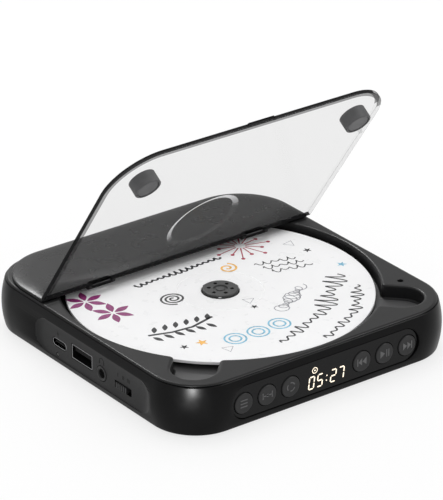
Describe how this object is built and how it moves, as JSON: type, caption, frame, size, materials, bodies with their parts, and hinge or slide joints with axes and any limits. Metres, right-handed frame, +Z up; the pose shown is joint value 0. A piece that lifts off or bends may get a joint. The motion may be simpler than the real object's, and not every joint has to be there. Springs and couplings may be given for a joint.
{
  "type": "portable cd player",
  "caption": "Square pocket disc player with a hinged smoked lid, front push buttons, a digit display, side sockets and a sled-driven pickup under the disc.",
  "frame": {"origin": "Under the middle of the player, on the plane of the rubber feet.", "axes": "+Z up, -Y towards the button panel, -X towards the sockets, +Y towards the rear cover."},
  "size_m": [0.1336, 0.1336, 0.1002],
  "materials": {
    "case_plastic": "satin charcoal",
    "deck_plastic": "satin grey",
    "smoked_acrylic": "clear smoke",
    "soft_rubber": "matte",
    "plated_steel": "plated",
    "gloss_black": "gloss",
    "display_black": "gloss",
    "button_black": "satin",
    "board_green": "solder mask",
    "lamp_clear": "clear",
    "disc_white": "printed gloss",
    "gear_plastic": "moulded",
    "cell_wrap": "foil wrap"
  },
  "bodies": {
    "case": {"lower_housing": "case_plastic", "deck_frame": "deck_plastic", "rear_cover": "deck_plastic", "hinge_pin_left": "plated_steel", "hinge_pin_right": "plated_steel", "front_panel": "gloss_black", "display_module": "display_black", "button_board": "board_green", "main_board": "board_green", "usb_c_socket": "plated_steel", "usb_a_socket": "plated_steel", "headphone_jack": "button_black", "mode_switch_body": "plated_steel", "charge_lamp": "lamp_clear", "port_carrier": "button_black", "lid_switch": "button_black", "spindle_motor": "plated_steel", "drive_plate": "plated_steel", "guide_rod_front": "plated_steel", "guide_rod_rear": "plated_steel", "feed_motor": "plated_steel", "damper_front_left": "soft_rubber", "damper_rear_left": "soft_rubber", "damper_front_right": "soft_rubber", "damper_rear_right": "soft_rubber", "battery_cell": "cell_wrap", "case_screw_front_left": "plated_steel", "case_screw_front_right": "plated_steel", "case_screw_rear_left": "plated_steel", "case_screw_rear_right": "plated_steel", "foot_front_left": "soft_rubber", "foot_rear_left": "soft_rubber", "foot_front_right": "soft_rubber", "foot_rear_right": "soft_rubber"},
    "lid": {"lid_panel": "smoked_acrylic", "lid_bumper_left": "soft_rubber", "lid_bumper_right": "soft_rubber", "lid_magnet_left": "plated_steel", "lid_magnet_right": "plated_steel"},
    "turntable": {"compact_disc": "disc_white", "turntable_hub": "button_black", "spindle_shaft": "plated_steel"},
    "sled": {"pickup_sled": "button_black", "objective_lens": "button_black"},
    "feed_wheel": {"feed_gear": "gear_plastic"},
    "feed_pinion": {"motor_pinion": "gear_plastic"},
    "menu_key": {"button_menu": "button_black"},
    "segment_key": {"button_segment": "button_black"},
    "sound_key": {"button_sound": "button_black"},
    "previous_key": {"button_previous": "button_black"},
    "play_key": {"button_play": "button_black"},
    "next_key": {"button_next": "button_black"},
    "mode_knob": {"mode_switch_knob": "button_black"}
  },
  "joints": [
    {"name": "lid_hinge", "type": "hinge", "parent": "case", "child": "lid", "pos_m": [0, 0.02748, 0.0225], "axis": [-1, 0, 0], "range_deg": [-55.6, 4.4]},
    {"name": "disc_spin", "type": "hinge", "parent": "case", "child": "turntable", "pos_m": [0, 0, 0.018], "axis": [0, 0, 1], "continuous": true},
    {"name": "sled_feed", "type": "slide", "parent": "case", "child": "sled", "axis": [1, 0, 0], "range_m": [0, 0.033]},
    {"name": "feed_gear_turn", "type": "hinge", "parent": "case", "child": "feed_wheel", "pos_m": [0.02167, 0.02092, 0.0088], "axis": [0, 0, 1], "range_deg": [0, 451]},
    {"name": "motor_pinion_turn", "type": "hinge", "parent": "case", "child": "feed_pinion", "pos_m": [0.02835, 0.03161, 0.0066], "axis": [0, 0, 1], "range_deg": [-1441, 0]},
    {"name": "menu_press", "type": "slide", "parent": "case", "child": "menu_key", "axis": [0, 1, 0], "range_m": [0, 0.0004], "stiffness_N_per_m": 500, "springref_m": -0.0004},
    {"name": "segment_press", "type": "slide", "parent": "case", "child": "segment_key", "axis": [0, 1, 0], "range_m": [0, 0.0004], "stiffness_N_per_m": 500, "springref_m": -0.0004},
    {"name": "sound_press", "type": "slide", "parent": "case", "child": "sound_key", "axis": [0, 1, 0], "range_m": [0, 0.0004], "stiffness_N_per_m": 500, "springref_m": -0.0004},
    {"name": "previous_press", "type": "slide", "parent": "case", "child": "previous_key", "axis": [0, 1, 0], "range_m": [0, 0.0004], "stiffness_N_per_m": 500, "springref_m": -0.0004},
    {"name": "play_press", "type": "slide", "parent": "case", "child": "play_key", "axis": [0, 1, 0], "range_m": [0, 0.0004], "stiffness_N_per_m": 500, "springref_m": -0.0004},
    {"name": "next_press", "type": "slide", "parent": "case", "child": "next_key", "axis": [0, 1, 0], "range_m": [0, 0.0004], "stiffness_N_per_m": 500, "springref_m": -0.0004},
    {"name": "mode_slide", "type": "slide", "parent": "case", "child": "mode_knob", "axis": [0, -1, 0], "range_m": [-0.0008, 0.0024]}
  ],
  "couplings": [
    {"joint": "feed_gear_turn", "follows": "sled_feed", "rad_per_m": 238.1},
    {"joint": "motor_pinion_turn", "follows": "sled_feed", "rad_per_m": -761.9}
  ]
}
